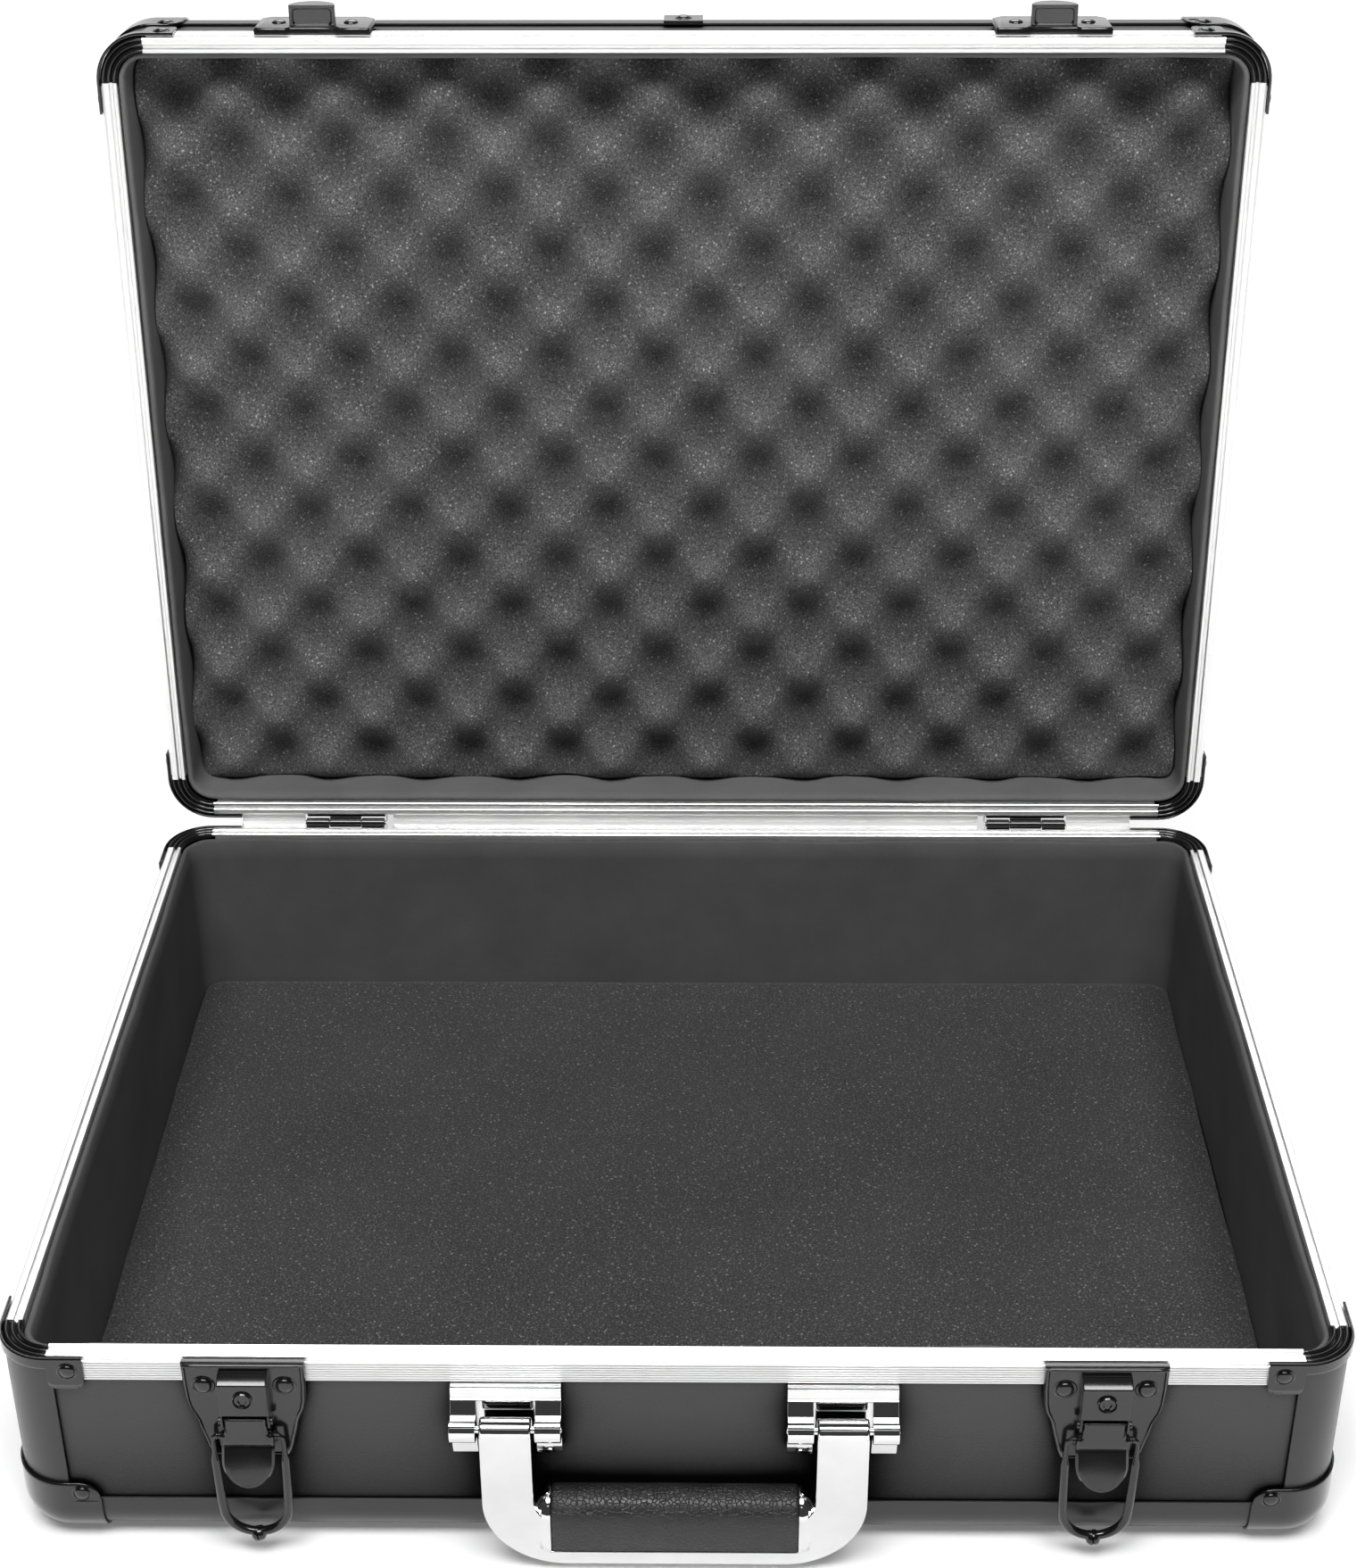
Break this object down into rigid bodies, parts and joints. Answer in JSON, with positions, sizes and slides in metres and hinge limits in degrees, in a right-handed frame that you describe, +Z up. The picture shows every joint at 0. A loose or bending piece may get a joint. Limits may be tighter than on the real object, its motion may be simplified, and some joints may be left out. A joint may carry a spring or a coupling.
{
  "type": "hard attache case",
  "caption": "Hard attache case with an aluminium rim, black boards and corner caps, draw latches with locks, a hinged lid and a swinging handle.",
  "frame": {"origin": "centre of the base's footprint, on the surface that the corner caps stand on", "axes": "+X along the width to the right, +Y from the front with the handle to the hinges, +Z up"},
  "size_m": [0.464, 0.4275, 0.4425],
  "materials": {
    "laminated_board": "matte",
    "black_extrusion": "satin",
    "rim_aluminium": "satin",
    "black_steel": "satin",
    "chrome_plate": "polished",
    "grip_leather": "satin",
    "lining": "matte",
    "foam": "matte"
  },
  "bodies": {
    "base": {"base_bottom_panel": "laminated_board", "base_wall_band": "laminated_board", "base_edge_frame": "black_extrusion", "base_corner_post_front_left": "black_extrusion", "base_corner_post_front_right": "black_extrusion", "base_corner_post_rear_left": "black_extrusion", "base_corner_post_rear_right": "black_extrusion", "base_rail_front": "rim_aluminium", "base_rail_rear": "rim_aluminium", "base_rail_left": "rim_aluminium", "base_rail_right": "rim_aluminium", "base_rim_corner_front_left": "black_steel", "base_rim_corner_front_right": "black_steel", "base_rim_corner_rear_left": "black_steel", "base_rim_corner_rear_right": "black_steel", "base_ball_corner_front_left": "black_steel", "base_ball_corner_front_right": "black_steel", "base_ball_corner_rear_left": "black_steel", "base_ball_corner_rear_right": "black_steel", "base_lining": "lining", "base_foam_pad": "foam", "hinge_base_leaf_left": "black_steel", "hinge_base_leaf_right": "black_steel", "hinge_pin_left": "black_steel", "hinge_pin_right": "black_steel", "latch_plate_left": "black_steel", "latch_plate_right": "black_steel", "handle_bracket_left": "chrome_plate", "handle_bracket_right": "chrome_plate", "handle_pin_left": "chrome_plate", "handle_pin_right": "chrome_plate"},
    "lid": {"lid_top_panel": "laminated_board", "lid_wall_band": "black_extrusion", "lid_edge_frame": "black_extrusion", "lid_rail_front": "rim_aluminium", "lid_rail_rear": "rim_aluminium", "lid_rail_left": "rim_aluminium", "lid_rail_right": "rim_aluminium", "lid_rim_corner_front_left": "black_steel", "lid_rim_corner_front_right": "black_steel", "lid_rim_corner_rear_left": "black_steel", "lid_rim_corner_rear_right": "black_steel", "lid_ball_corner_front_left": "black_steel", "lid_ball_corner_front_right": "black_steel", "lid_ball_corner_rear_left": "black_steel", "lid_ball_corner_rear_right": "black_steel", "lid_lining": "lining", "lid_egg_foam": "foam", "hinge_lid_leaf_left": "black_steel", "hinge_lid_leaf_right": "black_steel", "latch_keeper_left": "black_steel", "latch_keeper_right": "black_steel"},
    "handle": {"handle_frame": "chrome_plate", "handle_grip": "grip_leather"},
    "lever_left": {"latch_lever_left": "black_steel"},
    "lever_right": {"latch_lever_right": "black_steel"},
    "bail_left": {"latch_bail_left": "black_steel"},
    "bail_right": {"latch_bail_right": "black_steel"},
    "lock_left": {"lock_cylinder_left": "black_steel"},
    "lock_right": {"lock_cylinder_right": "black_steel"}
  },
  "joints": [
    {"name": "lid_hinge", "type": "hinge", "parent": "base", "child": "lid", "pos_m": [0, 0.17475, 0.08595], "axis": [1, 0, 0], "range_deg": [0, 93.6]},
    {"name": "handle_pivot", "type": "hinge", "parent": "base", "child": "handle", "pos_m": [0, -0.18055, 0.0623], "axis": [-1, 0, 0], "range_deg": [0, 120]},
    {"name": "lever_left_pivot", "type": "hinge", "parent": "base", "child": "lever_left", "pos_m": [-0.145, -0.17795, 0.0632], "axis": [1, 0, 0], "range_deg": [-110, 0]},
    {"name": "lever_right_pivot", "type": "hinge", "parent": "base", "child": "lever_right", "pos_m": [0.145, -0.17795, 0.0632], "axis": [1, 0, 0], "range_deg": [-110, 0]},
    {"name": "bail_left_pivot", "type": "hinge", "parent": "lever_left", "child": "bail_left", "pos_m": [-0.145, -0.17775, 0.0562], "axis": [-1, 0, 0], "range_deg": [-3, 176]},
    {"name": "bail_right_pivot", "type": "hinge", "parent": "lever_right", "child": "bail_right", "pos_m": [0.145, -0.17775, 0.0562], "axis": [-1, 0, 0], "range_deg": [-3, 176]},
    {"name": "lock_left_turn", "type": "hinge", "parent": "base", "child": "lock_left", "pos_m": [-0.145, -0.17785, 0.0742], "axis": [0, -1, 0], "range_deg": [0, 90]},
    {"name": "lock_right_turn", "type": "hinge", "parent": "base", "child": "lock_right", "pos_m": [0.145, -0.17785, 0.0742], "axis": [0, -1, 0], "range_deg": [0, 90]}
  ]
}
